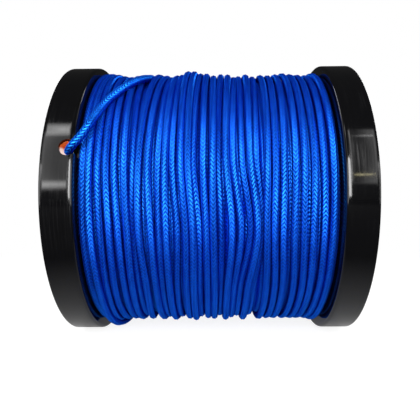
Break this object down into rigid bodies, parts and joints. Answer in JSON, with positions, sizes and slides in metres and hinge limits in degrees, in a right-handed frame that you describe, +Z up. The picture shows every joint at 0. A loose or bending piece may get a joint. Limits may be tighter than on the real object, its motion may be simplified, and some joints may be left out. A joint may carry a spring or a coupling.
{
  "type": "fishing line spool",
  "caption": "Bulk spool of braided fishing line, wound between two deep-rimmed moulded plastic flanges, its loose end led through a notch in one rim.",
  "frame": {"origin": "the middle of the spool, on its axis, half way between the flanges", "axes": "+X along the spool's axis towards the right flange, +Z up; the spool lies on its rims and the line's outer end shows on the -Y side"},
  "size_m": [0.1, 0.1, 0.1],
  "materials": {
    "spool_plastic": "black moulded plastic, glossy, with fine handling scuffs",
    "braided_line": "blue braided line, slightly shiny filaments",
    "end_tape": "orange-brown paper tape with a pale edge"
  },
  "bodies": {
    "root": {"left_flange": "spool_plastic", "right_flange": "spool_plastic", "barrel": "spool_plastic", "spindle_tube": "spool_plastic", "line_core": "braided_line", "line_outer_layer": "braided_line", "line_inner_end": "braided_line", "line_tail": "braided_line", "tail_tape": "end_tape"}
  },
  "joints": []
}
